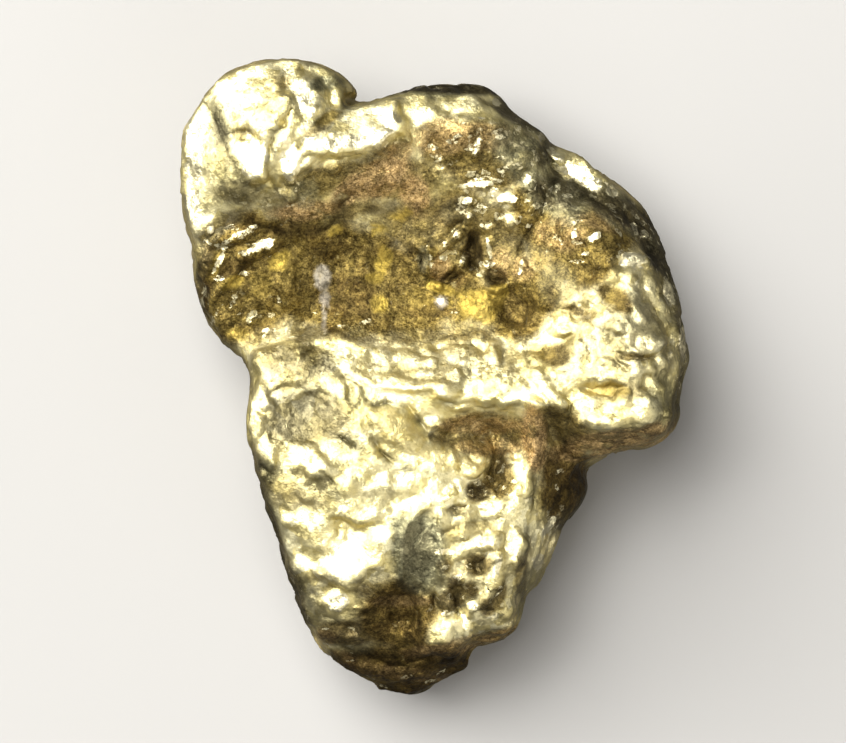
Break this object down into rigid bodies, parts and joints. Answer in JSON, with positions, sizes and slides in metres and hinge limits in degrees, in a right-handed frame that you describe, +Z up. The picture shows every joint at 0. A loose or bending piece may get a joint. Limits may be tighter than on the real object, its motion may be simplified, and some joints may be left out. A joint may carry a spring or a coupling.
{
  "type": "gold nugget",
  "caption": "Water-worn lump of native gold with a knob, a shallow stained basin, a wide pitted lobe and a wedge-shaped body.",
  "frame": {"origin": "under the middle of the lump, on the plane it rests on", "axes": "+Z up out of the face with the basin, +Y along the lump's length towards the knob, +X towards the wide lobe"},
  "size_m": [0.016, 0.02, 0.0079],
  "materials": {
    "native_gold": "worn natural metal, glossy on the high points, brown and rough in the hollows"
  },
  "bodies": {
    "root": {"gold_nugget": "native_gold"}
  },
  "joints": []
}
